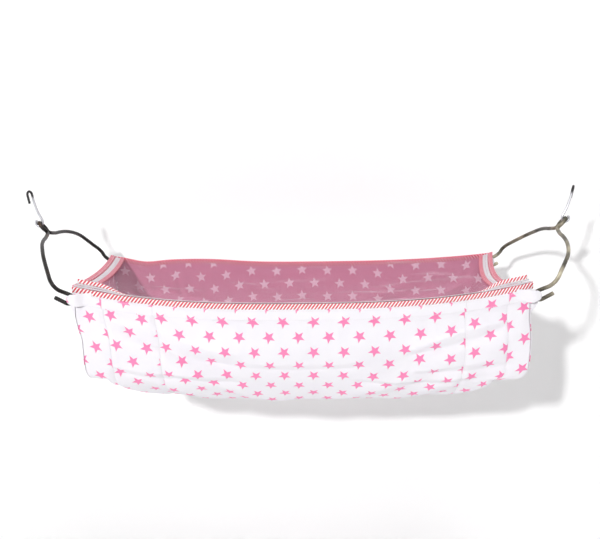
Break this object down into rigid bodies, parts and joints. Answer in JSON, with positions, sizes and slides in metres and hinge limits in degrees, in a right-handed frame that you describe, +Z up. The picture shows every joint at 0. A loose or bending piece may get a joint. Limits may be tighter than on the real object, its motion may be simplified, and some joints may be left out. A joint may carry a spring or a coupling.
{
  "type": "hanging baby cradle",
  "caption": "Long cloth tub cradle with a zip-on net cover, hung from bent steel bails hooked in belt loops at its ends.",
  "frame": {"origin": "midway between the insides of the two hooks' upper curls, where the cradle hangs", "axes": "+X along the cradle to the right as seen from the front, +Y to the back, +Z up"},
  "size_m": [1.1722, 0.4741, 0.4433],
  "materials": {
    "printed_cloth": "woven cotton, printed with pink stars",
    "pink_lining": "woven cotton, printed with white stars",
    "striped_binding": "folded bias binding with thin slanting stripes",
    "zip_tape": "woven zip tape",
    "net": "fine open netting",
    "bail_rod": "dark bronze coated steel rod",
    "hook_wire": "plain bent wire",
    "slider_metal": "small cast zip slider"
  },
  "bodies": {
    "cradle": {"body_cloth": "printed_cloth", "body_lining": "pink_lining", "front_belt_band": "printed_cloth", "back_belt_band": "printed_cloth", "front_rim_binding": "striped_binding", "back_rim_binding": "striped_binding", "front_rim_tape": "zip_tape", "left_end_panel": "printed_cloth", "left_end_lining": "pink_lining", "left_rim_binding": "striped_binding", "left_rim_tape": "zip_tape", "right_end_panel": "printed_cloth", "right_end_lining": "pink_lining", "right_rim_binding": "striped_binding", "right_rim_tape": "zip_tape"},
    "net_cover": {"net_panel": "net", "front_net_tape": "zip_tape", "front_net_binding": "striped_binding", "left_net_tape": "zip_tape", "left_net_binding": "striped_binding", "right_net_tape": "zip_tape", "right_net_binding": "striped_binding"},
    "left_bail": {"left_bail": "bail_rod"},
    "right_bail": {"right_bail": "bail_rod"},
    "left_hook": {"left_hook": "hook_wire"},
    "right_hook": {"right_hook": "hook_wire"},
    "left_slider": {"left_zip_slider": "slider_metal"},
    "right_slider": {"right_zip_slider": "slider_metal"},
    "left_pull": {"left_slider_pull": "slider_metal"},
    "right_pull": {"right_slider_pull": "slider_metal"}
  },
  "joints": [
    {"name": "net_cover_lift", "type": "hinge", "parent": "cradle", "child": "net_cover", "pos_m": [0, 0.20717, -0.16975], "axis": [-1, 0, 0], "range_deg": [0, 110]},
    {"name": "left_bail_swing", "type": "hinge", "parent": "cradle", "child": "left_bail", "pos_m": [-0.4555, 0, -0.19225], "axis": [-0.0068, -1, 0], "range_deg": [-25, 44]},
    {"name": "left_hook_swing", "type": "hinge", "parent": "left_bail", "child": "left_hook", "pos_m": [-0.56331, 0.00073, -0.06603], "axis": [-0.0068, -1, 0], "range_deg": [-45, 60]},
    {"name": "left_zip_slide", "type": "slide", "parent": "cradle", "child": "left_slider", "axis": [0.0703, 0.9961, -0.0527], "range_m": [0, 0.02]},
    {"name": "left_pull_swing", "type": "hinge", "parent": "left_slider", "child": "left_pull", "pos_m": [-0.43265, -0.19906, -0.16984], "axis": [0.9587, -0.082, -0.2722], "range_deg": [0, 90]},
    {"name": "right_bail_swing", "type": "hinge", "parent": "cradle", "child": "right_bail", "pos_m": [0.459, 0, -0.19225], "axis": [-0.0182, 0.9998, 0], "range_deg": [-25, 44]},
    {"name": "right_hook_swing", "type": "hinge", "parent": "right_bail", "child": "right_hook", "pos_m": [0.56679, 0.00196, -0.06603], "axis": [-0.0182, 0.9998, 0], "range_deg": [-45, 60]},
    {"name": "right_zip_slide", "type": "slide", "parent": "cradle", "child": "right_slider", "axis": [-0.1851, 0.9541, -0.2356], "range_m": [0, 0.02]},
    {"name": "right_pull_swing", "type": "hinge", "parent": "right_slider", "child": "right_pull", "pos_m": [0.4317, -0.1987, -0.17144], "axis": [0.9446, 0.2389, 0.2252], "range_deg": [0, 90]}
  ]
}
